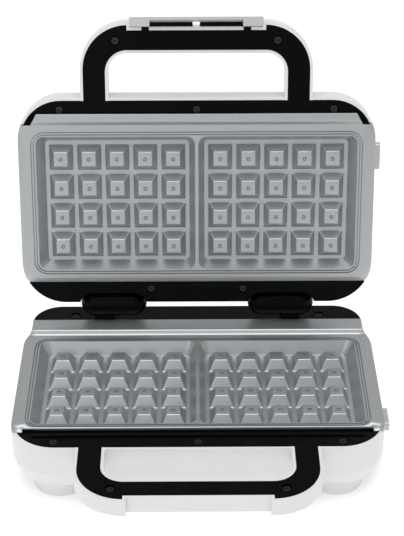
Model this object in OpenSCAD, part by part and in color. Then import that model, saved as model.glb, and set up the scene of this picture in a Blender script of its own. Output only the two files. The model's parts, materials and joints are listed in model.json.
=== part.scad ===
// Waffle maker with two removable-pattern plates, shown with the lid open.
// The design space has its origin on the hinge axis, with the lid closed; +Y points to the rear.
// Everything is then raised onto the table, and the lid's pieces turn open about the hinge axis.

/* [Body] */
// Width of the body
body_w = 340; // [300:1:380]
// From the hinge axis forward to the outside of the front wall
body_reach = 210; // [205:1:250]
// Radius of the body's corners in plan
body_corner = 42; // [30:1:46]
// Height of the parting plane above the table
base_h = 64; // [60:1:85]
// Height of the lid above the parting plane
lid_h = 42; // [38:1:60]
// Thickness of the moulded walls
wall = 2.5; // [2:0.1:3.5]
// How far the base's lower edge and the lid's upper edge are drawn in
edge_in = 11; // [6:1:16]

/* [Hinge] */
// Height of the hinge axis above the parting plane
hinge_rise = 20; // [18:0.5:30]
// How far the lid has swung open
lid_open = 103; // [80:1:110]
// From the hinge axis forward to the lid's rear edge
lid_rear = 5; // [4:0.5:8]
// How far the base's rear ledge reaches behind the hinge axis
ledge_back = 22.5; // [18:0.5:30]
// Radius of a hinge barrel
barrel_r = 13.5; // [11:0.5:14]
// Length of a hinge barrel
barrel_l = 65; // [56:1:80]
// Distance between the middles of the two barrels
barrel_gap = 165; // [140:1:180]
// Radius of a hinge pin
pin_r = 3; // [2:0.1:4]
// Radial clearance of the hinge and latch pins
pin_clear = 0.05; // [0.02:0.01:0.1]

/* [Plates] */
// Distance between pyramid columns
col_pitch = 26.8; // [24:0.1:28]
// Distance between pyramid rows
row_pitch = 29; // [26:0.1:30]
// Columns in each well
cols = 5; // [4:1:5]
// Rows in each well
rows = 4; // [3:1:4]
// From the hinge axis forward to the first row
first_row = 62.9; // [61:0.1:70]
// Depth of a well
well_depth = 12; // [9:0.5:15]
// Height of a pyramid
pyramid_h = 10; // [6:0.5:11]
// Width of a pyramid's top, across
top_w = 12.9; // [9:0.1:15]
// Length of a pyramid's top, front to back
top_l = 13.9; // [9:0.1:16]
// Width of a pyramid's foot, across
foot_w = 22.4; // [18:0.1:23]
// Length of a pyramid's foot, front to back
foot_l = 24.6; // [18:0.1:25]
// Floor left beside the outer pyramids
channel = 4.1; // [3:0.1:6]
// How far a well's outer walls lean out
wall_lean = 8; // [4:0.5:9]
// Width of the land between the two wells
land_w = 3.2; // [2:0.1:6]
// Thickness of the plate's metal
plate_t = 2.5; // [2:0.1:3.5]
// Gap between the two flanges with the lid closed
flange_gap = 1; // [0.6:0.1:2]
// Height of the land along the lower plate's hinge side
lip_rise = 4; // [2:0.1:5]
// Height of the lip along the upper plate's front
front_rise = 2.8; // [2:0.1:3]

/* [Handles] */
// Width across a handle
handle_w = 218.4; // [200:1:240]
// How far a handle reaches out from the front wall
handle_reach = 71.3; // [60:1:85]
// Height of one half of the handle
handle_t = 16; // [13:0.5:20]
// Width of a handle's side leg
handle_leg = 26.4; // [22:0.5:32]
// Width of a handle's front bar
handle_bar = 29; // [24:0.5:36]
// Outer corner radius of a handle
handle_corner = 45; // [35:1:50]
// Length of the notch for the latch
notch_l = 124; // [110:1:140]
// Depth of the notch for the latch
notch_d = 4.9; // [4:0.1:6]
// Width of the white rim around the black trim
rim = 2.8; // [2:0.1:4]

/* [Latch] */
// Length of the latch
latch_l = 122.8; // [100:1:124]
// Angle between the latch's resting and locked positions
latch_rest = 15; // [12:1:25]
// Radius of the latch pin
latch_pin_r = 1.5; // [1.2:0.1:2]

/* [Release buttons] */
// How far a button stands out of the body
button_out = 5.5; // [3:0.5:6]
// Length of a button's face
button_l = 26; // [20:1:30]
// Height of a button's face
button_h = 9; // [7:0.5:11]
// Travel of a button
button_travel = 3; // [2:0.5:4]
// From the hinge axis forward to the middle of a button
button_y = 149.5; // [140:0.5:160]

/* [Heating] */
// Radius of the sheathed heating element
element_r = 3.2; // [3:0.1:4]
// Height of the table feet under the body
foot_h = 14; // [10:1:20]
// Radius of a foot column
foot_r = 26.5; // [20:0.5:28]
// Distance of the foot columns from the middle
foot_x = 126; // [110:1:130]

/* [Hidden] */
$fn = 48;

eps = 0.01;
part_z = -hinge_rise;             // parting plane, seen from the hinge axis
front_y = -body_reach;
table_z = part_z - base_h;
half_w = body_w / 2;
tip_y = front_y - handle_reach;
lid_top = part_z + lid_h;
body_bottom = table_z + foot_h;

// The open object's box is centred on the origin, front to back.
open_back = sin(lid_open) * lid_top - cos(lid_open) * (body_reach - edge_in);
origin_y = -(tip_y + open_back) / 2;
origin_z = -table_z;

// Plates
flange_t = plate_t;
low_top = part_z - flange_gap / 2; // cooking face's flange level of the lower plate
plate_rear = 25.9;
plate_front = 185;
front_cut = 179;
lip_back = 7.6;                   // rear end of the land, forward of the hinge axis
slope_back = 25.5;
slope_front = 31;
band_deep = lip_rise + 5;         // the lid's trim is this thick along its rear edge
foot_y = [-173.5, ledge_back - 36];
well_floor_in = foot_w / 2 + channel;
well_mid = land_w / 2 + 5.6 + well_floor_in + (cols - 1) * col_pitch / 2;
floor_w = (cols - 1) * col_pitch + 2 * well_floor_in;
floor_l = (rows - 1) * row_pitch + foot_l + 2 * channel;
rows_mid = first_row + (rows - 1) * row_pitch / 2;
well_x0 = land_w / 2;
well_x1 = well_mid + floor_w / 2 + wall_lean;
well_lean_y = 6.4;
well_l = floor_l + 2 * well_lean_y;
cup_bottom = low_top - well_depth - plate_t;
ledge_low = low_top - flange_t - 0.3; // frame and shell lie this low under a flange

// Heating
element_z = cup_bottom - 0.4 - element_r;
element_half = 35;
element_end = 118;
reflector_z = element_z - element_r - 5;
reflector_w = 2 * well_mid + floor_w - 2;
reflector_l = floor_l + 8;
post_x = 90;
post_y = reflector_l / 2 - 8;

// Screws
frame_screw_x = 129.5;
frame_screw_y = front_y + 11.5;
handle_screw_x = 75.7;
handle_screw_y = tip_y + 17.5;
rear_screw_x = 122;
rear_screw_y = ledge_back - 15.5;
lid_rear_screw_x = 45;
lid_rear_screw_y = -18.5;
screw_r = 1.6;
head_r = 3.4;
well_r = 4.5;

// Latch, in its locked position
latch_y = tip_y + 2.1;
latch_z = part_z + 4;
latch_face = tip_y - 1.8;
latch_back = tip_y + 3.3;
hook_reach = 3.6;
hook_w = 18.5;
hook_t = 3;
hook_gap = 0.8;
latch_low = part_z - flange_gap / 2 - handle_t - hook_gap - hook_t;
bearing_w = 6.9;                  // blocks that carry the latch pins
knuckle_w = 10.3;
knuckle_r = 2.6;
spring_slot = 4.2;
bearing_x = latch_l / 2 - knuckle_w - 0.3 - bearing_w;
rail_z = part_z + 5;
rail_y = tip_y - 0.8;
rail_deep = notch_d + rim + 1.8;

// Trim, bottom cover and feet
trim_t = 4.6;
near_base = part_z - flange_gap / 2; // face of the base's trim
trim_under = near_base - trim_t - 0.1;
foot_pad_r = 11;
cover_z = body_bottom + 0.2;
cover_in = edge_in + wall + 0.8;

// Hinge: each barrel is split in the middle, and its lid half hangs in a pocket by a web
barrel_split = barrel_gap / 2;
barrel_end = barrel_gap / 2 + barrel_l / 2;
barrel_start = barrel_gap / 2 - barrel_l / 2;
split_gap = 0.2;
web_bite = 0.5;
web_z = -6;
web_h = 9;
neck_y0 = -6.8;
neck_y1 = 13;
pocket_wall = 1.2;
pocket_gap = 0.8;

// Release buttons and cord gland
button_z = low_top - 14;
stem_w = 12;
gland_x = 60;
gland_z = part_z - 22;

white = [0.92, 0.93, 0.93];
black = [0.05, 0.05, 0.055];
stone = [0.66, 0.68, 0.69];
steel = [0.72, 0.73, 0.74];

module placed() translate([0, origin_y, origin_z]) children();
module on_lid() placed() rotate([-lid_open, 0, 0]) children();
// A piece drawn for the base, turned over the parting plane for the lid.
module turned_over() translate([0, 0, 2 * part_z]) mirror([0, 0, 1]) children();
module both_sides() {
    children();
    mirror([1, 0, 0]) children();
}

module rounded(x0, x1, y0, y1, r) {
    translate([x0 + r, y0]) square([x1 - x0 - 2 * r, y1 - y0]);
    translate([x0, y0 + r]) square([x1 - x0, y1 - y0 - 2 * r]);
    for (x = [x0 + r, x1 - r], y = [y0 + r, y1 - r]) translate([x, y]) circle(r);
}

// Plan of the body, drawn in by a distance.
module body_plan(inset = 0, back = -lid_rear) {
    rounded(-half_w + inset, half_w - inset, front_y + inset, back - inset, body_corner - inset);
}
module ledge_plan(inset = 0) {
    rounded(-half_w + 6.5 + inset, half_w - 6.5 - inset, -100, ledge_back - inset, 28 - inset);
}
// Trim keeps a white rim at the front and sides, and none round the rear.
module trim_plan() {
    body_plan(rim);
    intersection() {
        body_plan(0);
        translate([-half_w, -30]) square([body_w, 60]);
    }
}

module handle_plan(inset = 0, notch = notch_l) {
    difference() {
        rounded(-handle_w / 2 + inset, handle_w / 2 - inset, tip_y + inset,
            front_y + 60, handle_corner - inset);
        rounded(-handle_w / 2 + handle_leg - inset, handle_w / 2 - handle_leg + inset,
            tip_y + handle_bar - inset, front_y + 50, 18 + inset);
        translate([-notch / 2 - inset, tip_y - 1])
            square([notch + 2 * inset, notch_d + 1 + inset]);
        translate([-half_w, front_y + inset]) square([body_w, 100]);
    }
}
// The legs run on into the body behind the front wall.
module handle_root(inset = 0)
    for (x = [-handle_w / 2 + inset, handle_w / 2 - handle_leg + inset])
        translate([x, front_y - 4]) square([handle_leg - 2 * inset, 8]);

module flange_plan(clear = 0) {
    intersection() {
        body_plan(0.5 - clear);
        translate([-half_w, -plate_front - clear])
            square([body_w, plate_front - plate_rear + 2 * clear]);
    }
}

module screw(head_z, length, down = true) {
    s = down ? -1 : 1;
    translate([0, 0, head_z]) {
        difference() {
            union() {
                translate([0, 0, s > 0 ? -2.2 : 0]) cylinder(r = head_r, h = 2.2);
                translate([0, 0, s > 0 ? 0 : -length]) cylinder(r = screw_r, h = length);
            }
            for (a = [0, 90]) rotate([0, 0, a])
                translate([-2, -0.4, s > 0 ? -2.3 : 1.2]) cube([4, 0.8, 1.1]);
        }
    }
}

// ---- Shells ----

module shell_body(inset, z_far, near, far_in, with_ledge) {
    step = (z_far - near) * 0.6;
    linear_extrude_between(near, near + step) {
        body_plan(inset);
        if (with_ledge) ledge_plan(inset);
    }
    hull() {
        linear_extrude_between(near + step * 0.9, near + step) {
            body_plan(inset);
            if (with_ledge) ledge_plan(inset);
        }
        linear_extrude_between(near + (z_far - near) * 0.86, near + (z_far - near) * 0.87)
            body_plan(inset + far_in * 0.35, with_ledge ? ledge_back - 6 : -lid_rear);
        linear_extrude_between(z_far - (z_far > near ? 0.1 : -0.1), z_far)
            body_plan(inset + far_in, with_ledge ? ledge_back : -lid_rear);
    }
}
module linear_extrude_between(z0, z1)
    translate([0, 0, min(z0, z1)]) linear_extrude(abs(z1 - z0)) children();

module front_posts(z0, z1) {
    translate([0, frame_screw_y, z0]) post(z1 - z0);
    both_sides() translate([frame_screw_x, frame_screw_y, z0]) post(z1 - z0);
}
module post(h) difference() {
    cylinder(r = 3.6, h = h);
    translate([0, 0, -eps]) cylinder(r = screw_r + 0.1, h = h + 2 * eps);
}
module handle_posts(z0, z1) both_sides()
    translate([handle_screw_x, handle_screw_y, z0]) post(z1 - z0);

module handle_shell() {
    difference() {
        union() {
            linear_extrude_between(near_base - handle_t, near_base) {
                handle_plan();
                handle_root();
            }
        }
        linear_extrude_between(near_base - handle_t + wall, near_base + 1) {
            handle_plan(rim);
            handle_root(rim);
        }
    }
}

module base_shell() color(white) placed() difference() {
    union() {
        difference() {
            shell_body(0, body_bottom, near_base, edge_in, true);
            shell_body(wall, body_bottom - 0.2, near_base + 0.2, edge_in, true);
        }
        handle_shell();
        // Four hollow columns carry the body on the table.
        both_sides() for (y = foot_y) translate([foot_x, y, table_z + 2])
            difference() {
                cylinder(r = foot_r, h = foot_h + 6);
                translate([0, 0, wall]) cylinder(r = foot_r - wall, h = foot_h + 6);
            }
        intersection() {
            front_posts(body_bottom + 3, trim_under);
            shell_body(0.5, body_bottom, near_base, edge_in, true);
        }
        both_sides() translate([rear_screw_x, rear_screw_y, table_z + 3])
            post(trim_under - table_z - 3);
        handle_posts(near_base - handle_t + 1, trim_under);
    }
    // Openings from the body into the handle legs, under the trim.
    for (x = [-1, 1]) translate([x * (handle_w - handle_leg) / 2 - handle_leg / 2 + rim,
        front_y - 1, near_base - handle_t + wall]) cube([handle_leg - 2 * rim, wall + 4, 30]);
    // The plate's flange and the trim lie in the rim.
    linear_extrude_between(ledge_low, near_base + 1) flange_plan(0.6);
    linear_extrude_between(trim_under, near_base + 1) ledge_trim_plan();
    linear_extrude_between(trim_under, near_base + 1) {
        body_plan(rim - 0.1);
        handle_plan(rim - 0.05);
    }
    // Rubber feet, bottom screws, release button and cord gland.
    both_sides() for (y = foot_y) translate([foot_x, y, table_z - 1])
        cylinder(r = foot_pad_r + 0.1, h = 4.5);
    button_hole();
    translate([gland_x, ledge_back - 6, gland_z]) rotate([-90, 0, 0]) cylinder(r = 6.1, h = 10);
}
module ledge_trim_plan() intersection() {
    union() {
        ledge_plan(-0.5);
        body_plan(0);
    }
    translate([-half_w, -30]) square([body_w, 100]);
}

module rubber_feet() color([0.12, 0.12, 0.12]) placed()
    both_sides() for (y = foot_y) translate([foot_x, y, table_z])
        cylinder(r = foot_pad_r, h = 3.5);

module bottom_cover() color([0.2, 0.2, 0.21]) placed() difference() {
    union() {
        linear_extrude_between(cover_z, cover_z + 2) difference() {
            body_plan(cover_in, ledge_back - 2);
            both_sides() for (y = foot_y) translate([foot_x, y]) circle(r = foot_r + 0.6);
        }
        both_sides() for (y = [-1, 1])
            translate([post_x, -rows_mid + y * post_y, cover_z + 1]) post(reflector_z - cover_z - 1);
        for (x = [-9, 9]) translate([gland_x + x, -26, cover_z + 1])
            cylinder(r = 3, h = gland_z - 9 - cover_z);
    }
    for (x = [-90 : 9 : 90]) translate([x - 1.5, -126, cover_z - 1]) cube([3, 40, 4]);
    both_sides() for (y = [-118, -60]) translate([150, y, cover_z - 1])
        cylinder(r = screw_r + 0.1, h = 5);
}
module bottom_cover_screws() color(steel) placed()
    both_sides() for (y = [-118, -60]) translate([150, y, 0]) screw(cover_z, 4, false);

// ---- Trim frames ----

// Channel that takes the upper plate's front lip.
module trough_plan() polygon([[-158.2, -179.6], [158.2, -179.6], [158.2, -185],
    [151.6, -196.4], [-151.6, -196.4], [-158.2, -185]]);
module trim_slab() {
    difference() {
        union() {
            linear_extrude_between(near_base - trim_t, near_base) {
                intersection() {
                    trim_plan();
                    body_plan(rim);
                }
            }
            linear_extrude_between(near_base - trim_t, near_base) {
                handle_plan(rim);
                handle_root(rim);
            }
        }
        // Window for the plate's wells, and the seat of its flange.
        linear_extrude_between(part_z - 30, part_z + 1) translate([0, -rows_mid])
            square([2 * well_x1 + 8, well_l + 7], center = true);
        linear_extrude_between(ledge_low, near_base + 1) flange_plan(0.5);
        // Screw wells.
        trim_screw_holes();
    }
}
module trim_screw_holes() {
    both_sides() {
        translate([frame_screw_x, frame_screw_y, 0]) trim_hole();
        translate([handle_screw_x, handle_screw_y, 0]) trim_hole();
    }
    translate([0, frame_screw_y, 0]) trim_hole();
}
module trim_hole(deep = 3.4) {
    translate([0, 0, near_base - deep]) cylinder(r = well_r, h = deep + 1);
    translate([0, 0, near_base - 12]) cylinder(r = screw_r + 0.15, h = 14);
}

module barrel(x0, x1, round_at_start) {
    ball = barrel_r;
    a = round_at_start ? x0 + ball : x0;
    b = round_at_start ? x1 : x1 - ball;
    translate([a, 0, 0]) rotate([0, 90, 0]) cylinder(r = barrel_r, h = b - a);
    translate([round_at_start ? a : b, 0, 0]) sphere(r = ball);
}

module base_frame() color(black) placed() difference() {
    union() {
        trim_slab();
        // Rear ledge, with no white rim, under the lid's rear edge.
        difference() {
            linear_extrude_between(near_base - trim_t, near_base) ledge_trim_inner();
            linear_extrude_between(part_z - 30, part_z + 1) translate([0, -rows_mid])
                square([2 * well_x1 + 8, well_l + 7], center = true);
            linear_extrude_between(ledge_low, near_base + 1) flange_plan(0.5);
        }
        // Knuckles: the outer half of each barrel stands on the ledge.
        both_sides() difference() {
            union() {
                barrel(barrel_split + split_gap, barrel_end, false);
                translate([barrel_split + split_gap, neck_y0, near_base - 1])
                    cube([barrel_l / 2 - barrel_r, neck_y1 - neck_y0, -near_base]);
            }
            translate([barrel_split - 1, 0, 0]) rotate([0, 90, 0])
                cylinder(r = pin_r, h = barrel_l / 2 - 6);
        }
        // Rails either side of the trough.
        translate([-150, -187.5, near_base - trim_t]) cube([300, 1.6, 2.2]);
    }
    linear_extrude_between(near_base - 3.8, near_base + 1) difference() {
        trough_plan();
        translate([-150, -187.5]) square([300, 1.6]);
    }
    linear_extrude_between(near_base - 2.4, near_base + 1) trough_plan();
    // Seat of the plate's rear land.
    linear_extrude_between(near_base - 1.6, near_base + 3)
        translate([-163.6, -40]) square([327.2, 40 - lip_back + 0.6]);
    linear_extrude_between(ledge_low, near_base + 1)
        translate([-165, -40]) square([330, 40 - 23]);
    both_sides() translate([rear_screw_x, rear_screw_y, 0]) trim_hole();
}
module ledge_trim_inner() intersection() {
    union() {
        ledge_plan(0);
        body_plan(rim);
    }
    translate([-half_w, -29.5]) square([body_w, 100]);
}

module hinge_pins() color(steel) placed() both_sides()
    translate([barrel_start + 10, 0, 0]) rotate([0, 90, 0])
        cylinder(r = pin_r, h = barrel_split + barrel_l / 2 - 7 - barrel_start - 10);

module base_frame_screws() color([0.15, 0.15, 0.16]) placed() {
    translate([0, frame_screw_y, 0]) screw(near_base - 3.4, 8);
    both_sides() {
        translate([frame_screw_x, frame_screw_y, 0]) screw(near_base - 3.4, 8);
        translate([rear_screw_x, rear_screw_y, 0]) screw(near_base - 3.4, 8);
        translate([handle_screw_x, handle_screw_y, 0]) screw(near_base - 3.4, 8);
    }
}

// ---- Waffle plates ----

module well_form(grow, top, bottom) hull() {
    translate([0, 0, top - eps]) linear_extrude(eps)
        rounded(well_x0 - grow, well_x1 + grow, -rows_mid - well_l / 2 - grow,
            -rows_mid + well_l / 2 + grow, 8 + grow, $fn = 32);
    translate([0, 0, bottom]) linear_extrude(eps)
        rounded(well_mid - floor_w / 2 - grow, well_mid + floor_w / 2 + grow,
            -rows_mid - floor_l / 2 - grow, -rows_mid + floor_l / 2 + grow, 5 + grow, $fn = 32);
}

// Rows and columns of ridges cross, and the pyramids are where they meet.
module ridge(foot, top, h) polygon([[-foot / 2, 0], [foot / 2, 0], [top / 2, h], [-top / 2, h]]);
module pyramids(floor_z) intersection() {
    for (i = [0 : cols - 1])
        translate([well_mid + (i - (cols - 1) / 2) * col_pitch, -rows_mid - floor_l / 2, floor_z - 0.5])
            rotate([90, 0, 180]) linear_extrude(floor_l) {
                translate([0, 0.5]) ridge(foot_w, top_w, pyramid_h);
                translate([-foot_w / 2, 0]) square([foot_w, 0.51]);
            }
    for (j = [0 : rows - 1])
        translate([well_mid - floor_w / 2, -first_row - j * row_pitch, floor_z - 0.5])
            rotate([90, 0, 90]) linear_extrude(floor_w) {
                translate([0, 0.5]) ridge(foot_l, top_l, pyramid_h);
                translate([-foot_l / 2, 0]) square([foot_l, 0.51]);
            }
}

// Both plates share the wells; each has its own outline and lip.
module plate_body() {
    floor_z = low_top - well_depth;
    difference() {
        union() {
            linear_extrude_between(low_top - flange_t, low_top) children(0);
            both_sides() well_form(plate_t, low_top - eps, low_top - well_depth - plate_t);
            children(1);
        }
        both_sides() well_form(0, low_top + eps, low_top - well_depth);
        linear_extrude_between(low_top - 0.7, low_top + 1) for (g = [1.4, 3.9])
            difference() {
                groove_line(g + 1.1);
                groove_line(g);
            }
    }
    both_sides() pyramids(floor_z);
}
module groove_line(g) rounded(-well_x1 - g, well_x1 + g, -rows_mid - well_l / 2 - g,
    -rows_mid + well_l / 2 + g, 8 + g);

module lower_plate() color(stone) placed() difference() {
    plate_body() {
        difference() {
            intersection() {
                body_plan(0.5);
                translate([-half_w, -plate_front]) square([body_w, plate_front - plate_rear]);
            }
            translate([-158.6, -plate_front - 1]) square([317.2, plate_front - front_cut + 1]);
        }
        // Lip along the hinge side: a short slope, then a land back to the ledge.
        translate([-163, 0, 0]) rotate([90, 0, 90]) linear_extrude(326) polygon([
            [-slope_front - 1, low_top - flange_t], [-slope_front, low_top],
            [-slope_back, low_top + lip_rise], [-lip_back, low_top + lip_rise],
            [-lip_back, low_top - 0.9], [-slope_back + 1, low_top - 0.9],
            [-slope_back - 0.5, low_top - flange_t]]);
    }
    plate_catch_slot();
}
// The side lug that the release button's catch holds.
module plate_catch_slot() translate([half_w - 9, -button_y - 6, low_top - 12]) cube([4, 12, 3]);

module upper_plate() color(stone) on_lid() turned_over() plate_body() {
    intersection() {
        body_plan(0.5);
        translate([-half_w, -plate_front + 1.5]) square([body_w, plate_front - 1.5 - slope_front]);
    }
    union() {
        // Rear edge, sloped away to lie over the lower plate's own slope.
        intersection() {
            translate([-half_w, 0, 0]) rotate([90, 0, 90]) linear_extrude(body_w) polygon([
                [-slope_front - 2, low_top - flange_t], [-slope_front - 2, low_top],
                [-slope_front - 0.6, low_top], [-plate_rear, low_top - lip_rise],
                [-plate_rear, low_top - lip_rise - 2], [-plate_rear - 1, low_top - lip_rise - 2.5]]);
            translate([0, 0, low_top - 9]) linear_extrude(20) body_plan(0.5);
        }
        // Lip along the front: it drops into the base's trough when the lid closes.
        intersection() {
            translate([-157, 0, 0]) rotate([90, 0, 90]) linear_extrude(314) polygon([
                [-182, low_top - flange_t], [-182.6, low_top], [-187.4, low_top + front_rise],
                [-194.8, low_top + front_rise], [-195.4, low_top + front_rise - 1],
                [-195.4, low_top - 0.4], [-187, low_top - flange_t]]);
            translate([0, 0, low_top - 5]) linear_extrude(20) polygon([
                [-157, -180], [157, -180], [157, -184.6], [151, -196], [-151, -196], [-157, -184.6]]);
        }
    }
}

// ---- Heating ----

// A sheathed element: two long runs joined by a bend, with its two ends turned to the right.
module element_loop() {
    for (s = [-1, 1]) translate([-element_end + element_half, -rows_mid + s * element_half, element_z])
        rotate([0, 90, 0]) cylinder(r = element_r, h = 2 * element_end - element_half);
    translate([-element_end + element_half, -rows_mid, element_z]) rotate([0, 0, 90])
        rotate_extrude(angle = 180) translate([element_half, 0]) circle(r = element_r);
    // Cold pins.
    for (s = [-1, 1]) translate([element_end - 1, -rows_mid + s * element_half, element_z])
        rotate([0, 90, 0]) cylinder(r = 1.3, h = 12);
}
module element_brackets() for (x = [-60, 60], s = [-1, 1])
    translate([x, -rows_mid + s * element_half, 0]) difference() {
        translate([-4, -7, reflector_z + 0.8]) cube([8, 14, element_z - reflector_z + 1.5]);
        translate([-5, 0, element_z]) rotate([0, 90, 0]) cylinder(r = element_r + 0.1, h = 10);
        translate([-5, -element_r - 0.1, element_z]) cube([10, 2 * element_r + 0.2, 10]);
    }
module reflector() {
    difference() {
        linear_extrude_between(reflector_z, cup_bottom - 0.6)
            rounded(-reflector_w / 2, reflector_w / 2, -rows_mid - reflector_l / 2,
                -rows_mid + reflector_l / 2, 10);
        linear_extrude_between(reflector_z + 0.8, cup_bottom)
            rounded(-reflector_w / 2 + 0.8, reflector_w / 2 - 0.8, -rows_mid - reflector_l / 2 + 0.8,
                -rows_mid + reflector_l / 2 - 0.8, 9.2);
        both_sides() for (y = [-1, 1]) translate([post_x, -rows_mid + y * post_y, reflector_z - 1])
            cylinder(r = screw_r + 0.1, h = 3);
    }
}
module reflector_screws() both_sides() for (y = [-1, 1])
    translate([post_x, -rows_mid + y * post_y, 0]) screw(reflector_z + 0.8, 6);

module lower_element() color([0.35, 0.35, 0.36]) placed() element_loop();
module lower_element_brackets() color(steel) placed() element_brackets();
module lower_reflector() color(steel) placed() reflector();
module lower_reflector_screws() color(steel) placed() reflector_screws();
module upper_element() color([0.35, 0.35, 0.36]) on_lid() turned_over() element_loop();
module upper_element_brackets() color(steel) on_lid() turned_over() element_brackets();
module upper_reflector() color(steel) on_lid() turned_over() reflector();
module upper_reflector_screws() color(steel) on_lid() turned_over() reflector_screws();

// ---- Release buttons ----

module button_hole() {
    translate([half_w - 10, -button_y - button_l / 2 - 0.4, button_z - button_h / 2 - 0.4])
        cube([12, button_l + 0.8, button_h + 0.8]);
}
module release_button() {
    translate([half_w - 2, -button_y, button_z]) {
        // Face with rounded ends.
        intersection() {
            translate([0, -button_l / 2, -button_h / 2]) cube([button_out + 2, button_l, button_h]);
            rotate([0, 90, 0]) linear_extrude(button_out + 2)
                rounded(-button_h / 2, button_h / 2, -button_l / 2, button_l / 2, 3);
        }
        // Shoulder, stem and catch.
        translate([-6, -stem_w / 2, -3]) cube([6.5, stem_w, 6]);
    }
}
module button_spring() {
    // The coils stand apart by enough for the button's travel.
    for (i = [0 : 3]) translate([half_w - 9.5 - button_travel + i * button_travel * 0.4, -button_y, button_z])
        rotate([0, 90, 0]) rotate_extrude() translate([2.4, 0]) circle(r = 0.5, $fn = 16);
}
module lower_release_button() color(stone) placed() release_button();
module lower_button_spring() color(steel) placed() button_spring();
module upper_release_button() color(stone) on_lid() turned_over() release_button();
module upper_button_spring() color(steel) on_lid() turned_over() button_spring();

// ---- Electrical pieces ----

module thermostat() color([0.85, 0.83, 0.78]) placed()
    translate([0, -rows_mid, reflector_z - 9]) {
        cylinder(r = 9, h = 8.9);
        for (s = [-1, 1]) translate([s * 6 - 1, -3, -5]) cube([2, 6, 6]);
    }
module thermal_fuse() color(steel) placed()
    translate([30, -rows_mid - 14, reflector_z - 4.2]) rotate([0, 90, 0]) cylinder(r = 2, h = 14);
module terminal_block() color([0.9, 0.9, 0.88]) placed() difference() {
    translate([gland_x - 16, -34, gland_z - 8]) cube([32, 16, 12]);
    for (i = [-1 : 1]) translate([gland_x + 10 * i, -26, gland_z - 2]) cylinder(r = 2, h = 8);
}
module cord_gland() color(black) placed()
    translate([gland_x, ledge_back - 6, gland_z]) rotate([-90, 0, 0]) difference() {
        union() {
            cylinder(r = 6, h = 8);
            translate([0, 0, 0.8]) cylinder(r = 8, h = 2.6);
        }
        translate([0, 0, -1]) cylinder(r = 3.4, h = 12);
    }
module lead(x0, y0, x1, z) translate([x0, y0, z]) rotate([0, 90, 0])
    cylinder(r = 1.2, h = x1 - x0);
module base_leads() color([0.8, 0.3, 0.2]) placed() for (x = [-1.6, 1.6])
    translate([gland_x + x, -17.8, gland_z]) rotate([-90, 0, 0]) cylinder(r = 1.2, h = ledge_back + 16);
module lamp_board() color([0.2, 0.45, 0.25]) on_lid()
    translate([-30, -60, lid_top - 9]) cube([60, 22, 1.6]);
module lamp(x) translate([x, -49, lid_top - 7.2]) cylinder(r = 3.5, h = 7.7);
module power_lamp() color([0.8, 0.1, 0.08]) on_lid() lamp(-16);
module ready_lamp() color([0.1, 0.7, 0.2]) on_lid() lamp(16);
module lid_leads() color([0.8, 0.3, 0.2]) on_lid() {
    lead(-80, -45, -30.2, lid_top - 8);
    lead(-80, -53, -30.2, lid_top - 8);
}

// ---- Lid ----

module lid_shell() color(white) on_lid() difference() {
    union() {
        difference() {
            turned_over() shell_body(0, 2 * part_z - lid_top, near_base, edge_in, false);
            turned_over() shell_body(wall, 2 * part_z - lid_top + wall, near_base + 0.2,
                edge_in, false);
        }
        turned_over() handle_shell();
        turned_over() handle_posts(near_base - handle_t + 1, trim_under);
        turned_over() intersection() {
            lid_posts();
            shell_body(0.5, 2 * part_z - lid_top + 0.5, near_base, edge_in, false);
        }
    }
    both_sides() {
        // Slots that the latch's rail and bearing blocks come out of.
        translate([3.2, tip_y + notch_d - 1, rail_z - 0.1])
            cube([bearing_x + bearing_w - 3.1, rim + 2, 5.2]);
        translate([bearing_x - 0.1, tip_y + notch_d - 1, part_z])
            cube([bearing_w + 0.2, rim + 2, 9]);
        pocket(pocket_wall + 0.2);
    }
    turned_over() {
        for (x = [-1, 1]) translate([x * (handle_w - handle_leg) / 2 - handle_leg / 2 + rim,
            front_y - 1, near_base - handle_t + wall]) cube([handle_leg - 2 * rim, wall + 4, 30]);
        linear_extrude_between(ledge_low, near_base + 1) flange_plan(0.6);
        linear_extrude_between(trim_under, near_base + 1) {
            body_plan(rim - 0.1);
            handle_plan(rim - 0.05);
        }
        linear_extrude_between(near_base - band_deep - 0.1, near_base + 1) intersection() {
            body_plan(-0.2);
            translate([-half_w - 1, -36.8]) square([body_w + 2, 60]);
        }
        button_hole();
    }
    for (x = [-16, 16]) translate([x, -49, lid_top - 5]) cylinder(r = 3.6, h = 10);
}
module lid_posts() {
    front_posts(2 * part_z - lid_top + 1, trim_under);
    both_sides() translate([lid_rear_screw_x, lid_rear_screw_y, 2 * part_z - lid_top + 1])
        post(near_base - band_deep - 1.1 - 2 * part_z + lid_top);
    both_sides() for (y = [-1, 1])
        translate([post_x, -rows_mid + y * post_y, 2 * part_z - lid_top + 1])
            post(reflector_z + lid_top - 2 * part_z - 1);
}

// Room round a barrel: its own outline, carried out through the rim and to the rear.
module pocket_plan(grow) rounded(barrel_start - pocket_gap - grow, barrel_end + pocket_gap + grow,
    -barrel_r - pocket_gap - grow, 60, barrel_r + pocket_gap + grow);
module pocket(grow) {
    r = barrel_r + pocket_gap + grow;
    near_end = barrel_start + barrel_r;
    linear_extrude_between(part_z - 10, 0) pocket_plan(grow);
    translate([near_end, 0, 0]) rotate([0, 90, 0]) cylinder(r = r, h = barrel_l - 2 * barrel_r);
    for (x = [near_end, barrel_end - barrel_r]) translate([x, 0, 0]) sphere(r = r);
}

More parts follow.
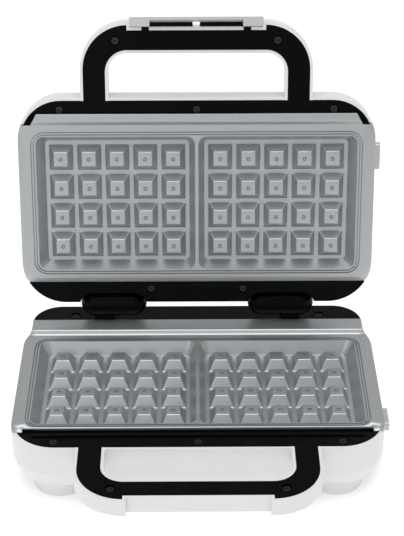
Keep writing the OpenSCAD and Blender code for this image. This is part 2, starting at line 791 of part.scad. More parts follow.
module lid_frame() color(black) on_lid() {
    difference() {
        union() {
            turned_over() difference() {
                union() {
                    trim_slab();
                    difference() {
                        linear_extrude_between(near_base - band_deep, near_base) intersection() {
                            body_plan(0);
                            translate([-half_w, -36.5]) square([body_w, 60]);
                        }
                        linear_extrude_between(part_z - 30, part_z + 1) translate([0, -rows_mid])
                            square([2 * well_x1 + 8, well_l + 7], center = true);
                    }
                }
                // Seat of the flange and its slope, and room for the lower plate's land behind it.
                linear_extrude_between(ledge_low, near_base + 1) flange_plan(0.5);
                linear_extrude_between(ledge_low - lip_rise, near_base + 1)
                    translate([-half_w, -slope_front - 1.6])
                        square([body_w, slope_front + 1.6 - plate_rear + 0.5]);
                linear_extrude_between(near_base - lip_rise, near_base + 1)
                    translate([-half_w, -plate_rear]) square([body_w, 40]);
                linear_extrude_between(ledge_low, near_base + 1)
                    translate([-157.6, -196]) square([315.2, 20]);
                both_sides() translate([lid_rear_screw_x, lid_rear_screw_y, 0]) trim_hole(band_deep - 2);
                both_sides() linear_extrude_between(part_z - 10, part_z + 10) pocket_plan(0);
            }
            // Pockets round the barrels.
            intersection() {
                both_sides() difference() {
                    pocket(pocket_wall);
                    pocket(0);
                }
                turned_over() shell_body(0.05, 2 * part_z - lid_top, near_base, edge_in, false);
                translate([-half_w, -100, part_z + 0.5 + lip_rise]) cube([body_w, 200, 100]);
            }
            // Inner half of each barrel, held to its pocket by a web.
            both_sides() {
                barrel(barrel_start, barrel_split - split_gap, true);
                translate([barrel_start + barrel_r, -barrel_r - pocket_gap - web_bite, web_z])
                    cube([barrel_l / 2 - barrel_r - split_gap, barrel_r, web_h]);
            }
        }
        both_sides() translate([barrel_start + 9, 0, 0]) rotate([0, 90, 0])
            cylinder(r = pin_r + pin_clear, h = barrel_l);
    }
    // Rail behind the latch, with a slot in its middle, and the blocks that carry the latch pins.
    both_sides() difference() {
        union() {
            translate([3.3, rail_y, rail_z]) cube([bearing_x + bearing_w - 3.3, rail_deep, 5]);
            translate([bearing_x, rail_y, part_z + 0.5]) cube([bearing_w, rail_deep, rail_z + 4 - part_z]);
        }
        translate([bearing_x + 0.6, latch_y, latch_z]) rotate([0, 90, 0])
            cylinder(r = latch_pin_r + 0.02, h = body_w);
    }
}

module lid_frame_screws() color([0.15, 0.15, 0.16]) on_lid() turned_over() {
    translate([0, frame_screw_y, 0]) screw(near_base - 3.4, 8);
    both_sides() {
        translate([frame_screw_x, frame_screw_y, 0]) screw(near_base - 3.4, 8);
        translate([handle_screw_x, handle_screw_y, 0]) screw(near_base - 3.4, 8);
        translate([lid_rear_screw_x, lid_rear_screw_y, 0]) screw(near_base - band_deep + 2, 8);
    }
}

// ---- Latch ----

module at_rest() translate([0, latch_y, latch_z]) rotate([-latch_rest, 0, 0])
    translate([0, -latch_y, -latch_z]) children();

module latch() color([0.78, 0.78, 0.8]) on_lid() at_rest() difference() {
    union() {
        translate([-latch_l / 2, latch_face, latch_low])
            cube([latch_l, latch_back - latch_face, latch_z - 5.4 - latch_low]);
        both_sides() translate([latch_l / 2 - hook_w, latch_face, latch_low])
            cube([hook_w, latch_back - latch_face + hook_reach, hook_t]);
        // Knuckles that run on the latch pins.
        both_sides() {
            translate([latch_l / 2 - knuckle_w, latch_face, latch_z - 6])
                cube([knuckle_w, latch_back - latch_face, 6]);
            translate([latch_l / 2 - knuckle_w, latch_y, latch_z]) rotate([0, 90, 0])
                cylinder(r = knuckle_r, h = knuckle_w);
        }
    }
    // Hollow back between the hooks.
    translate([-latch_l / 2 + hook_w, latch_back - 2.2, latch_low - 1])
        cube([latch_l - 2 * hook_w, 4, latch_z - latch_low]);
    // Slots for the springs, and the bores.
    both_sides() {
        translate([latch_l / 2 - knuckle_w - 1, latch_face + 1, latch_z - 2.8])
            cube([spring_slot + 1, 12, 8]);
        translate([latch_l / 2 - knuckle_w - 1, latch_y, latch_z]) rotate([0, 90, 0])
            cylinder(r = latch_pin_r + pin_clear, h = knuckle_w + 2);
    }
}
module latch_pins() color(steel) on_lid() both_sides()
    translate([bearing_x + 0.6, latch_y, latch_z]) rotate([0, 90, 0])
        cylinder(r = latch_pin_r, h = latch_l / 2 - bearing_x - 1);
module latch_springs() color(steel) on_lid() both_sides()
    for (i = [0 : 2]) translate([latch_l / 2 - knuckle_w + 0.9 + i * 1.2, latch_y, latch_z])
        rotate([0, 90, 0]) rotate_extrude() translate([latch_pin_r + 0.4, 0]) circle(r = 0.35, $fn = 16);

base_shell();
bottom_cover();
rubber_feet();
base_frame();
hinge_pins();
lower_plate();
lower_element();
lower_element_brackets();
lower_reflector();
lower_reflector_screws();
lower_release_button();
lower_button_spring();
base_frame_screws();
bottom_cover_screws();
thermostat();
thermal_fuse();
terminal_block();
cord_gland();
base_leads();
lid_shell();
lid_frame();
upper_plate();
upper_element();
upper_element_brackets();
upper_reflector();
upper_reflector_screws();
upper_release_button();
upper_button_spring();
lid_frame_screws();
lamp_board();
power_lamp();
ready_lamp();
lid_leads();
latch();
latch_pins();
latch_springs();
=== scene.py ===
# %% [markdown]
# # A waffle maker, standing open
# The machine is a base and a lid that meet at a rear hinge. Each half has a white moulded shell, a black
# trim let into its rim and a coated cast plate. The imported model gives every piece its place, and this
# script gives the pieces that show a finer shape and a finish.

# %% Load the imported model
import bmesh
import bpy
import json
import math
from mathutils import Matrix, Vector


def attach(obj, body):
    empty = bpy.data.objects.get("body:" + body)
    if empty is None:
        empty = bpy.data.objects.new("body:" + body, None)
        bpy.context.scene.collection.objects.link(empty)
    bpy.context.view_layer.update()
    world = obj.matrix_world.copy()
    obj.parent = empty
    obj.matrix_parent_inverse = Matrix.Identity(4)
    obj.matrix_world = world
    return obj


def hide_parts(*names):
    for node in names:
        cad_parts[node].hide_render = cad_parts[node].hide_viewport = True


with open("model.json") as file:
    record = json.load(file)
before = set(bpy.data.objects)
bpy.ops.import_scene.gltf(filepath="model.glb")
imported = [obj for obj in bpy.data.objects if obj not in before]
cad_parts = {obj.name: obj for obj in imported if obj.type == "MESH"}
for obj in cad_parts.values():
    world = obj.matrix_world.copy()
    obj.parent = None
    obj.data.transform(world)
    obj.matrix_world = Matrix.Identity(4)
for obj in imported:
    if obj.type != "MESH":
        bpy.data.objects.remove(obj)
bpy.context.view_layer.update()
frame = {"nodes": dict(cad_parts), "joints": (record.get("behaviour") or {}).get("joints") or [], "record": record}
scene = bpy.context.scene

# %% [markdown]
# ## One set of axes for drawing
# Both halves are drawn closed, in millimetres, with zero on the hinge's axis. It would be possible to draw
# the lid where it stands, tilted, but a face that is level while it is drawn is far easier to inset, extrude
# and bevel. A matrix then puts each finished mesh where its body is, and metres come in at the same moment.

# %% Hinge and placing matrices
joints = {j["name"]: j for j in frame["joints"]}
hinge = Vector(joints["lid_hinge"]["pos_m"])
lid_open = math.radians(joints["lid_hinge"]["range_deg"][1])
MM = Matrix.Scale(0.001, 4)
BASE_H = 64.0
PARTING = BASE_H - hinge.z * 1000
base_place = Matrix.Translation(hinge) @ MM
lid_place = Matrix.Translation(hinge) @ Matrix.Rotation(-lid_open, 4, "X") @ MM
turn_over = Matrix.Translation((0, 0, 2 * PARTING)) @ Matrix.Scale(-1, 4, (0, 0, 1))
print("hinge at", tuple(round(v, 4) for v in hinge), "parting plane at", round(PARTING, 2), "mm")

# %% Sizes in millimetres, the same as the machine's own
HALF_W = 170.0
FRONT = -210.0
CORNER = 42.0
FLANGE_GAP = 1.0
PLATE_TOP = PARTING - FLANGE_GAP / 2
WELL_IN, WELL_OUT = 1.6, 153.0
FLOOR_IN, FLOOR_OUT = 7.2, 145.0
ROWS_MID = -106.4
WELL_HALF = 66.2
FLOOR_HALF = 60.0
COL_PITCH, ROW_PITCH = 26.8, 29.0
WELL_DEPTH, PYRAMID_H = 12.0, 10.0
CASTING = 0.0022

# %% [markdown]
# ## Small tools
# The plates start from flat rectangles whose corners are rounded, and grow outwards from there. The
# corners could be drawn as arcs point by point, but a vertex bevel on a one-face grid makes the same arc.

# %% Flat rounded rectangle, softened edges and finishing
SHARP_ANGLE = math.radians(38)
MERGE = 0.002
LEVEL = 1e-4


def rounded_face(bm, x0, x1, y0, y1, radii, z, segments=10):
    """A flat face; radii go front-left, front-right, back-right, back-left."""
    made = bmesh.ops.create_grid(bm, x_segments=1, y_segments=1, size=0.5)
    verts = made["verts"]
    bmesh.ops.scale(bm, vec=(x1 - x0, y1 - y0, 1), verts=verts)
    bmesh.ops.translate(bm, vec=((x0 + x1) / 2, (y0 + y1) / 2, z), verts=verts)
    face = verts[0].link_faces[0]
    corners = [(x0, y0), (x1, y0), (x1, y1), (x0, y1)]
    for (cx, cy), r in zip(corners, radii):
        if r > 0:
            v = min(face.verts, key=lambda p: (p.co.x - cx) ** 2 + (p.co.y - cy) ** 2)
            bmesh.ops.bevel(bm, geom=[v], offset=r, offset_type="OFFSET", segments=segments,
                            profile=0.5, affect="VERTICES", material=-1)
            face = max(bm.faces,
                       key=lambda f: f.calc_area() if abs(f.calc_center_median().z - z) < LEVEL else 0)
    return face


def sharp_edges(bm, degrees=30):
    limit = math.radians(degrees)
    return [e for e in bm.edges if len(e.link_faces) == 2 and e.calc_face_angle(0) > limit]


def soften(bm, edges, width, segments=3):
    bmesh.ops.bevel(bm, geom=edges, offset=width, offset_type="OFFSET", segments=segments,
                    profile=0.5, affect="EDGES", material=-1, clamp_overlap=True)


def finish_piece(bm, name, place, body, replaces, material, skin=False):
    """Turns a bmesh into an object in its place, rides it on its body and hides the imported parts it stands for.

    A skin is an open surface that is drawn with its outside upwards."""
    bmesh.ops.remove_doubles(bm, verts=bm.verts, dist=MERGE)
    bmesh.ops.recalc_face_normals(bm, faces=bm.faces)
    if skin and max(bm.faces, key=lambda f: f.calc_area()).normal.z < 0:
        bmesh.ops.reverse_faces(bm, faces=bm.faces)
    bmesh.ops.transform(bm, matrix=place, verts=bm.verts)
    if place.determinant() < 0:
        bmesh.ops.reverse_faces(bm, faces=bm.faces)
    mesh = bpy.data.meshes.new(name)
    bm.to_mesh(mesh)
    bm.free()
    obj = bpy.data.objects.new(name, mesh)
    scene.collection.objects.link(obj)
    mesh.materials.append(material)
    mesh.shade_smooth()
    mesh.set_sharp_from_angle(angle=SHARP_ANGLE)
    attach(obj, body)
    for node in replaces:
        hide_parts(node)
    print(f"{name}: {len(mesh.polygons)} faces, rides on {body}")
    return obj


# %% [markdown]
# ## Finishes
# A moulding is never one even colour: the tool leaves a faint grain, and the coating on a plate carries fine
# metal flakes. Both are the same idea, noise that nudges colour, roughness and height, so one node group
# with its own scale and strengths serves them all.

# %% The grain group
def make_grain_group():
    group = bpy.data.node_groups.new("surface_grain", "ShaderNodeTree")
    for name, kind, default in (("Scale", "NodeSocketFloat", 900.0),
                                ("Base", "NodeSocketColor", (0.5, 0.5, 0.5, 1)),
                                ("Fleck", "NodeSocketColor", (0.6, 0.6, 0.6, 1)),
                                ("Fleck Amount", "NodeSocketFloat", 0.3),
                                ("Rough Low", "NodeSocketFloat", 0.3),
                                ("Rough High", "NodeSocketFloat", 0.4)):
        socket = group.interface.new_socket(name=name, in_out="INPUT", socket_type=kind)
        socket.default_value = default
    for name, kind in (("Color", "NodeSocketColor"), ("Roughness", "NodeSocketFloat"),
                       ("Height", "NodeSocketFloat")):
        group.interface.new_socket(name=name, in_out="OUTPUT", socket_type=kind)
    nodes, links = group.nodes, group.links
    ins, outs = nodes.new("NodeGroupInput"), nodes.new("NodeGroupOutput")
    place = nodes.new("ShaderNodeTexCoord")
    fine, broad = nodes.new("ShaderNodeTexNoise"), nodes.new("ShaderNodeTexNoise")
    fine.inputs["Detail"].default_value = 3.0
    broad.inputs["Scale"].default_value = 14.0
    broad.inputs["Detail"].default_value = 4.0
    for tex in (fine, broad):
        links.new(place.outputs["Object"], tex.inputs["Vector"])
    links.new(ins.outputs["Scale"], fine.inputs["Scale"])
    fleck = nodes.new("ShaderNodeMapRange")
    fleck.inputs["From Min"].default_value = 0.45
    fleck.inputs["From Max"].default_value = 0.75
    links.new(fine.outputs["Fac"], fleck.inputs["Value"])
    amount = nodes.new("ShaderNodeMath")
    amount.operation = "MULTIPLY"
    links.new(fleck.outputs["Result"], amount.inputs[0])
    links.new(ins.outputs["Fleck Amount"], amount.inputs[1])
    mix = nodes.new("ShaderNodeMix")
    mix.data_type = "RGBA"
    links.new(amount.outputs[0], mix.inputs["Factor"])
    links.new(ins.outputs["Base"], mix.inputs["A"])
    links.new(ins.outputs["Fleck"], mix.inputs["B"])
    rough = nodes.new("ShaderNodeMapRange")
    links.new(broad.outputs["Fac"], rough.inputs["Value"])
    links.new(ins.outputs["Rough Low"], rough.inputs["To Min"])
    links.new(ins.outputs["Rough High"], rough.inputs["To Max"])
    links.new(mix.outputs["Result"], outs.inputs["Color"])
    links.new(rough.outputs["Result"], outs.inputs["Roughness"])
    links.new(fine.outputs["Fac"], outs.inputs["Height"])
    return group


grain = make_grain_group()
print("grain group has", len(grain.nodes), "nodes")


# %% [markdown]
# ### A finish
# Each finish on the machine is one principled shader fed by the grain group. Separate node trees would do the
# same work, but one function keeps the mouldings, the castings and the metal parts comparable.

# %% A material is the grain with its own values
GRAIN_LIFT = 0.0002
COAT_ROUGH = 0.1


def finish(name, base, fleck, amount, scale, rough, bump, metallic=0.0, coat=0.0, specular=0.5):
    mat = bpy.data.materials.new(name)
    mat.use_nodes = True
    nodes, links = mat.node_tree.nodes, mat.node_tree.links
    shader = nodes["Principled BSDF"]
    g = nodes.new("ShaderNodeGroup")
    g.node_tree = grain
    g.inputs["Scale"].default_value = scale
    g.inputs["Base"].default_value = (*base, 1)
    g.inputs["Fleck"].default_value = (*fleck, 1)
    g.inputs["Fleck Amount"].default_value = amount
    g.inputs["Rough Low"].default_value, g.inputs["Rough High"].default_value = rough
    links.new(g.outputs["Color"], shader.inputs["Base Color"])
    links.new(g.outputs["Roughness"], shader.inputs["Roughness"])
    lift = nodes.new("ShaderNodeBump")
    lift.inputs["Strength"].default_value = bump
    lift.inputs["Distance"].default_value = GRAIN_LIFT
    links.new(g.outputs["Height"], lift.inputs["Height"])
    links.new(lift.outputs["Normal"], shader.inputs["Normal"])
    shader.inputs["Metallic"].default_value = metallic
    shader.inputs["Coat Weight"].default_value = coat
    shader.inputs["Coat Roughness"].default_value = COAT_ROUGH
    shader.inputs["Specular IOR Level"].default_value = specular
    return mat


# %% The finishes of this machine
white = finish("white_moulding", (0.74, 0.75, 0.755), (0.78, 0.79, 0.79), 0.3, 700, (0.30, 0.38), 0.05)
black = finish("black_moulding", (0.0015, 0.0015, 0.0018), (0.004, 0.004, 0.0044),
               0.5, 1500, (0.22, 0.32), 0.06, specular=0.06)
coating = finish("grey_coating", (0.43, 0.445, 0.455), (0.62, 0.635, 0.645),
                 0.5, 2600, (0.32, 0.40), 0.15, metallic=0.8)
steel = finish("bright_steel", (0.62, 0.63, 0.64), (0.7, 0.71, 0.72),
               0.3, 1200, (0.25, 0.35), 0.06, metallic=1.0)
dark_steel = finish("blackened_steel", (0.03, 0.03, 0.032), (0.06, 0.06, 0.06),
                    0.4, 1800, (0.35, 0.5), 0.1, metallic=0.8)
sheath = finish("element_sheath", (0.16, 0.155, 0.15), (0.24, 0.22, 0.2),
                0.5, 600, (0.45, 0.6), 0.15, metallic=0.9)
silver = finish("silver_moulding", (0.50, 0.51, 0.52), (0.58, 0.59, 0.6),
                0.4, 1600, (0.3, 0.38), 0.05, metallic=0.35)
rubber = finish("foot_rubber", (0.02, 0.02, 0.02), (0.035, 0.035, 0.035), 0.5, 900, (0.7, 0.85), 0.3)
dark_grey = finish("dark_cover", (0.035, 0.035, 0.037), (0.05, 0.05, 0.052), 0.5, 1100, (0.5, 0.6), 0.3)
ceramic = finish("ceramic_body", (0.74, 0.71, 0.64), (0.8, 0.78, 0.72), 0.4, 800, (0.5, 0.6), 0.2)
nylon = finish("terminal_nylon", (0.76, 0.75, 0.70), (0.8, 0.79, 0.75), 0.3, 900, (0.4, 0.5), 0.1)
board = finish("circuit_board", (0.02, 0.13, 0.05), (0.03, 0.2, 0.08), 0.5, 500, (0.35, 0.45), 0.1)
red = finish("red_lens", (0.45, 0.02, 0.015), (0.5, 0.04, 0.03), 0.3, 400, (0.12, 0.18), 0.02, coat=0.5)
green = finish("green_lens", (0.02, 0.32, 0.06), (0.03, 0.38, 0.08), 0.3, 400, (0.12, 0.18), 0.02, coat=0.5)
sleeve = finish("silicone_sleeve", (0.42, 0.10, 0.06), (0.5, 0.14, 0.08), 0.4, 900, (0.5, 0.6), 0.2)
SLOT_FINISH = {"white_shell": white, "black_trim": black, "coated_plate": coating, "bright_steel": steel,
               "black_screw": dark_steel, "element_sheath": sheath, "button_grey": silver,
               "latch_grey": silver, "foot_rubber": rubber, "cover_grey": dark_grey, "ceramic_body": ceramic,
               "terminal_white": nylon, "board_green": board, "lamp_red": red, "lamp_green": green,
               "lead_sleeve": sleeve}
print(len(SLOT_FINISH), "finishes")

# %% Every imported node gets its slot's finish
for part in frame["record"]["subparts"]:
    node = frame["nodes"].get(part["node"])
    if node:
        node.data.materials.clear()
        node.data.materials.append(SLOT_FINISH[part["material_slot"]])

# %% [markdown]
# ## The two waffle plates
# A waffle plate is cast aluminium under a grey non-stick coating: two sunken wells, each with four rows of
# five pyramids, and round both of them two fine grooves that keep batter in. It could be cut out of a block
# with Booleans, but a casting is one skin of even thickness, so the skin is grown from a grid instead: its
# cells become pyramids and its border becomes the walls, the land and the flange. Solidify then casts it.

# %% Moving one rounded outline onto another
def regrow(verts, rect, radius, new_rect, new_radius, z):
    """Moves points of a rounded rectangle (x0, x1, y0, y1) onto another one, corner to corner."""
    ratio = new_radius / radius
    for v in verts:
        place = []
        for here, low, high, new_low, new_high in ((v.co.x, rect[0], rect[1], new_rect[0], new_rect[1]),
                                                   (v.co.y, rect[2], rect[3], new_rect[2], new_rect[3])):
            held = min(max(here, low + radius), high - radius)
            along = (held - low - radius) / (high - low - 2 * radius)
            place.append(new_low + new_radius + along * (new_high - new_low - 2 * new_radius)
                         + (here - held) * ratio)
        v.co = (place[0], place[1], z)


def extrude_rim(bm, edges):
    """Extrudes border edges in place and returns the new verts and the new border edges."""
    made = bmesh.ops.extrude_edge_only(bm, edges=edges)
    verts = [g for g in made["geom"] if isinstance(g, bmesh.types.BMVert)]
    fresh = set(verts)
    rim = [e for v in verts for e in v.link_edges if e.other_vert(v) in fresh]
    return verts, list(set(rim))


def border_edges(bm):
    return [e for e in bm.edges if len(e.link_faces) == 1]


# %% [markdown]
# ### Pyramids
# The floor starts as a grid whose lines are moved to the pyramids' feet. Each foot face is extruded on its
# own and its far end scaled down. A small ring is pressed into every top, where the pattern is pinned during
# casting: four insets with a depth make it, after the face's border has been rounded into a circle.

# %% One well
FLOOR_Z = PLATE_TOP - WELL_DEPTH
COLS, ROWS = 5, 4
FOOT_W, FOOT_L = 22.4, 24.6
TOP_W, TOP_L = 12.9, 13.9
FLOOR_RECT = (FLOOR_IN, FLOOR_OUT, ROWS_MID - FLOOR_HALF, ROWS_MID + FLOOR_HALF)
WELL_RECT = (WELL_IN, WELL_OUT, ROWS_MID - WELL_HALF, ROWS_MID + WELL_HALF)
FLOOR_ROUND, WELL_ROUND = 4.0, 8.0
PIN_R = 2.15
PIN_INSET = 3.2
PIN_STEPS = ((0.1, -1.3), (0.6, 0.0), (0.2, 0.9), (0.45, 0.45))
BIG_TOP = 60


def grid_lines(low, high, middle, count, pitch, foot):
    feet = [middle + (i - (count - 1) / 2) * pitch + side * foot / 2
            for i in range(count) for side in (-1, 1)]
    return [low] + feet + [high]


def grow_pyramids(bm):
    bmesh.ops.create_grid(bm, x_segments=2 * COLS + 1, y_segments=2 * ROWS + 1, size=1)
    feet = [f for f in bm.faces if int((f.calc_center_median().x + 1) * (COLS + 0.5)) % 2
            and int((f.calc_center_median().y + 1) * (ROWS + 0.5)) % 2]
    x_lines = grid_lines(FLOOR_IN, FLOOR_OUT, (FLOOR_IN + FLOOR_OUT) / 2, COLS, COL_PITCH, FOOT_W)
    y_lines = grid_lines(FLOOR_RECT[2], FLOOR_RECT[3], ROWS_MID, ROWS, ROW_PITCH, FOOT_L)
    for v in bm.verts:
        column, row = round((v.co.x + 1) * (COLS + 0.5)), round((v.co.y + 1) * (ROWS + 0.5))
        v.co = (x_lines[column], y_lines[row], FLOOR_Z)
    tops = bmesh.ops.extrude_discrete_faces(bm, faces=feet)["faces"]
    for top in tops:
        middle = top.calc_center_median()
        bmesh.ops.scale(bm, vec=(TOP_W / FOOT_W, TOP_L / FOOT_L, 1), verts=top.verts,
                        space=Matrix.Translation(-middle))
        bmesh.ops.translate(bm, vec=(0, 0, PYRAMID_H), verts=top.verts)


def press_rings(bm):
    tops = [f for f in bm.faces if abs(f.calc_center_median().z - FLOOR_Z - PYRAMID_H) < 0.01
            and len(f.verts) == 4 and f.calc_area() > BIG_TOP]
    bmesh.ops.inset_individual(bm, faces=tops, thickness=PIN_INSET, use_even_offset=True)
    borders = list({e for f in tops for e in f.edges})
    bmesh.ops.subdivide_edges(bm, edges=borders, cuts=3)
    for top in [f for f in bm.faces if len(f.verts) == 16]:
        middle = top.calc_center_bounds()
        for v in top.verts:
            out = (v.co - middle).normalized()
            v.co = middle + out * PIN_R
        for thickness, depth in PIN_STEPS:
            bmesh.ops.inset_individual(bm, faces=[top], thickness=thickness, depth=depth)


def grow_well(bm):
    grow_pyramids(bm)
    soften(bm, sharp_edges(bm, 20), 0.9, 2)
    press_rings(bm)
    corners = [v for v in bm.verts if len(v.link_edges) == 2 and len(v.link_faces) == 1]
    bmesh.ops.bevel(bm, geom=corners, offset=FLOOR_ROUND, offset_type="OFFSET", segments=8, profile=0.5,
                    affect="VERTICES", material=-1)
    verts, rim = extrude_rim(bm, border_edges(bm))
    regrow(verts, FLOOR_RECT, FLOOR_ROUND, WELL_RECT, WELL_ROUND, PLATE_TOP)
    return rim


test = bmesh.new()
grow_well(test)
print("one well:", len(test.faces), "faces,", len(border_edges(test)), "border edges")
test.free()

# %% [markdown]
# ### Land, grooves and flange
# The land between the wells and the first groove is a flat region with two holes, and so is the flange round
# the second groove. Triangle fill closes such regions. The grooves are the outline extruded outwards, a step
# at a time, down and up again.

# %% Plate skin
GROOVES = ((1.3, 0.0), (1.35, -1.9), (2.35, -1.9), (2.5, 0.0),
           (3.7, 0.0), (3.75, -1.9), (4.75, -1.9), (4.9, 0.0))
FLANGE_INSET = 0.5
FLANGE_ROUND = CORNER - FLANGE_INSET
FLANGE_REAR = -5.5
NEAR = 0.01


def grown(g):
    """The rectangle round both wells, grown by g."""
    return (-WELL_OUT - g, WELL_OUT + g, WELL_RECT[2] - g, WELL_RECT[3] + g)


def bare_outline(bm, faces):
    """Turns flat faces into the edges of their common outline."""
    inner = [e for f in faces for e in f.edges
             if all(g in faces for g in e.link_faces) and len(e.link_faces) == 2]
    outline = [e for f in faces for e in f.edges if len(e.link_faces) == 1]
    bmesh.ops.delete(bm, geom=list(set(faces)), context="FACES_ONLY")
    bmesh.ops.delete(bm, geom=list(set(inner)), context="EDGES")
    return [e for e in outline if e.is_valid]


def slice_plane(bm, point, normal, clear=True):
    geom = bm.verts[:] + bm.edges[:] + bm.faces[:]
    bmesh.ops.bisect_plane(bm, geom=geom, dist=0.0001, plane_co=point, plane_no=normal, clear_outer=clear)


def flange_outline(bm, front, rear, notch_half, notch_y):
    """The body's own outline, cut off at the front and the rear, with a notch along the front."""
    side = HALF_W - FLANGE_INSET
    rounded_face(bm, -side, side, FRONT + FLANGE_INSET, FLANGE_REAR, (FLANGE_ROUND,) * 4, PLATE_TOP, 12)
    slice_plane(bm, (0, front, 0), (0, -1, 0))
    slice_plane(bm, (0, rear, 0), (0, 1, 0))
    slice_plane(bm, (notch_half, 0, 0), (1, 0, 0), clear=False)
    slice_plane(bm, (-notch_half, 0, 0), (1, 0, 0), clear=False)
    if notch_y > front:
        slice_plane(bm, (0, notch_y, 0), (0, 1, 0), clear=False)
        cut = [f for f in bm.faces if abs(f.calc_center_bounds().x) < notch_half
               and f.calc_center_bounds().y < notch_y]
        bmesh.ops.delete(bm, geom=cut, context="FACES")
    return bare_outline(bm, bm.faces[:])


def plate_skin(front, rear, notch_half, notch_y):
    bm = bmesh.new()
    outline = flange_outline(bm, front, rear, notch_half, notch_y)
    well = bmesh.new()
    grow_well(well)
    well_mesh = bpy.data.meshes.new("well")
    well.to_mesh(well_mesh)
    well.free()
    for turn in (Matrix.Identity(4), Matrix.Scale(-1, 4, (1, 0, 0))):
        well_mesh.transform(turn)
        bm.from_mesh(well_mesh)
    bpy.data.meshes.remove(well_mesh)
    rims = border_edges(bm)
    face = rounded_face(bm, *grown(GROOVES[0][0]), (WELL_ROUND + GROOVES[0][0],) * 4, PLATE_TOP)
    ring = list(face.edges)
    bmesh.ops.delete(bm, geom=[face], context="FACES_ONLY")
    bmesh.ops.triangle_fill(bm, edges=rims + ring, use_beauty=True)
    for (g, _), (next_g, dz) in zip(GROOVES, GROOVES[1:]):
        verts, ring = extrude_rim(bm, ring)
        regrow(verts, grown(g), WELL_ROUND + g, grown(next_g), WELL_ROUND + next_g, PLATE_TOP + dz)
    bmesh.ops.triangle_fill(bm, edges=[e for e in outline if e.is_valid] + ring, use_beauty=True)
    rounding = [e for e in rims if e.is_valid and len(e.link_faces) == 2]
    floor_line = [e for e in bm.edges if len(e.link_faces) == 2
                  and all(abs(v.co.z - FLOOR_Z) < NEAR for v in e.verts)
                  and e.calc_face_angle(0) > math.radians(40)]
    soften(bm, rounding + floor_line, 1.1, 3)
    return bm


def edge_line(bm, y, half=1000.0):
    """Border edges that lie along a line across the plate, within a distance of its middle."""
    return [e for e in border_edges(bm)
            if all(abs(v.co.y - y) < NEAR and abs(v.co.x) < half + NEAR for v in e.verts)]


def run_profile(bm, edges, start_half, steps):
    """Extrudes a line of edges through (y, z, half width) steps."""
    half = start_half
    for y, z, new_half in steps:
        verts, edges = extrude_rim(bm, edges)
        for v in verts:
            v.co = (v.co.x * new_half / half, y, PLATE_TOP + z)
        half = new_half


def run_rear(bm, y, start, steps):
    """Runs a profile from the rear edge; start holds (y, z, how far inside the edge's own half width)."""
    edges = edge_line(bm, y)
    half = max(abs(v.co.x) for e in edges for v in e.verts)
    run_profile(bm, edges, half, tuple((step_y, z, half - less) for step_y, z, less in start) + steps)


# %% [markdown]
# ### Lower plate
# Batter must not run out towards the hinge, so the lower plate has a raised land along that side. It could be
# a separate bar, but on a casting it is part of the skin, so the rear edge is extruded up an S-shaped slope,
# along the land and down again.

# %% Lower plate with the raised land along its hinge side
LOWER_FRONT, LOWER_REAR = -185.0, -31.0
LOWER_NOTCH_HALF, LOWER_NOTCH_Y = 158.6, -179.0
SLOPE_START = ((-30.2, 0.15, 0.4), (-29.2, 0.6, 1.0))
SLOPE = ((-28.3, 1.4, 164.4), (-27.5, 2.4, 164.0), (-26.8, 3.2, 163.6), (-26.1, 3.75, 163.3))
LAND = ((-25.3, 4.0, 163.0), (-8.2, 4.0, 163.0), (-7.8, 3.85, 163.0), (-7.6, 3.4, 163.0), (-7.6, 0.0, 163.0))

bm = plate_skin(LOWER_FRONT, LOWER_REAR, LOWER_NOTCH_HALF, LOWER_NOTCH_Y)
run_rear(bm, LOWER_REAR, SLOPE_START, SLOPE + LAND)
lower_plate = finish_piece(bm, "lower_waffle_plate", base_place, "base", ["lower_plate"],
                           coating, skin=True)

# %% [markdown]
# ### Upper plate
# The upper plate closes over the lower one. It is drawn face up, like the lower plate, and its matrix turns
# it over. At the rear it slopes away to clear the land, and at the front it has a lip over the base's trim.

# %% Upper plate with its rear slope and its front lip
UPPER_FRONT, UPPER_REAR = -183.5, -31.6
LIP_HALF = 157.0
REAR_START = ((-31.0, -0.3, 0.4),)
REAR_SLOPE = ((-26.3, -3.7, 163.8), (-25.9, -4.4, 163.6))
LIP = ((-184.2, 0.25, 157.0), (-187.0, 2.55, 155.4), (-187.8, 2.8, 155.0), (-194.4, 2.8, 151.6),
       (-194.9, 2.2, 151.1), (-195.0, 1.4, 151.0), (-195.0, -0.4, 151.0))

bm = plate_skin(UPPER_FRONT, UPPER_REAR, LIP_HALF, UPPER_FRONT)
run_rear(bm, UPPER_REAR, REAR_START, REAR_SLOPE)
run_profile(bm, edge_line(bm, UPPER_FRONT, LIP_HALF), LIP_HALF, LIP)
upper_plate = finish_piece(bm, "upper_waffle_plate", lid_place @ turn_over, "lid", ["upper_plate"],
                           coating, skin=True)

# %% [markdown]
# ### Thickness
# A casting has one wall thickness. The underside could be drawn too, but Solidify repeats the skin below
# itself, and Weighted Normal keeps the flat faces flat where they meet rounded edges.

# %% Casting thickness
for piece in (lower_plate, upper_plate):
    wall = piece.modifiers.new("casting", "SOLIDIFY")
    wall.thickness = CASTING
    wall.offset = -1
    shading = piece.modifiers.new("flat_faces_stay_flat", "WEIGHTED_NORMAL")
    shading.weight = 100
    shading.keep_sharp = True
print("plates:", [len(p.data.polygons) for p in (lower_plate, upper_plate)], "faces")

# %% [markdown]
# ## The floor, the light and the camera
# A product is lit by large soft lights, so that a grey coating shows its edges as gradients. Small lamps
# would make hard spots. One wide light hangs over the machine, one stands in front and the sky fills in.

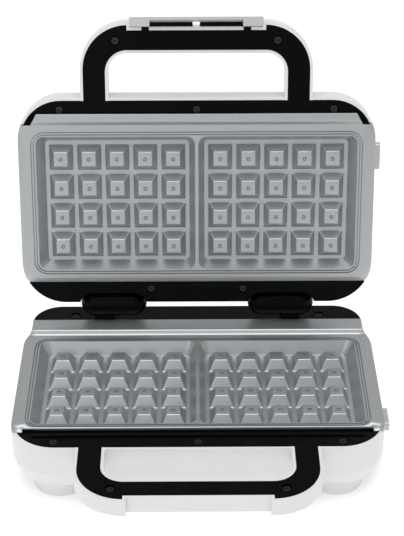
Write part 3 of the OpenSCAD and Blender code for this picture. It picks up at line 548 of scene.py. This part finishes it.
# %% Floor and sky
floor_mesh = bpy.data.meshes.new("floor")
bm = bmesh.new()
bmesh.ops.create_grid(bm, x_segments=1, y_segments=1, size=6.0)
bm.to_mesh(floor_mesh)
bm.free()
floor = bpy.data.objects.new("floor", floor_mesh)
scene.collection.objects.link(floor)
floor_finish = bpy.data.materials.new("floor_paper")
floor_finish.use_nodes = True
paper = floor_finish.node_tree.nodes["Principled BSDF"]
paper.inputs["Base Color"].default_value = (0.93, 0.93, 0.93, 1)
paper.inputs["Roughness"].default_value = 0.8
paper.inputs["Emission Color"].default_value = (1, 1, 1, 1)
paper.inputs["Emission Strength"].default_value = 0.3
floor_mesh.materials.append(floor_finish)
world = bpy.data.worlds.new("sky")
scene.world = world
world.use_nodes = True
sky = world.node_tree.nodes["Background"]
sky.inputs["Color"].default_value = (1, 1, 1, 1)
sky.inputs["Strength"].default_value = 0.58


# %% Soft lights
def soft_light(name, place, aim, size, power):
    lamp = bpy.data.lights.new(name, "AREA")
    lamp.shape = "RECTANGLE"
    lamp.size, lamp.size_y = size
    lamp.energy = power
    obj = bpy.data.objects.new(name, lamp)
    scene.collection.objects.link(obj)
    obj.location = place
    obj.rotation_euler = (Vector(aim) - Vector(place)).to_track_quat("-Z", "Y").to_euler()


soft_light("light_above", (0.0, -0.1, 1.9), (0, 0, 0.1), (1.8, 1.4), 18)
soft_light("light_front", (-0.7, -1.9, 1.1), (0, 0, 0.15), (1.4, 1.2), 4)
print("two soft lights")

# %% Camera
camera_data = bpy.data.cameras.new("camera")
camera_data.sensor_width = 36.0
camera_data.lens = 104.8
CAMERA_FROM_HINGE = Vector((-0.00287, -1.30465, 0.83970))
camera = bpy.data.objects.new("camera", camera_data)
scene.collection.objects.link(camera)
camera.location = hinge + CAMERA_FROM_HINGE
down, turned, rolled = math.radians(31.553), math.radians(0.337), math.radians(0.062)
camera.rotation_euler = (Matrix.Rotation(-turned, 3, "Z") @ Matrix.Rotation(math.pi / 2 - down, 3, "X")
                         @ Matrix.Rotation(-rolled, 3, "Z")).to_euler()
scene.camera = camera
scene.view_settings.view_transform = "Standard"
scene.view_settings.look = "None"
print("camera at", tuple(round(v, 3) for v in camera.location))
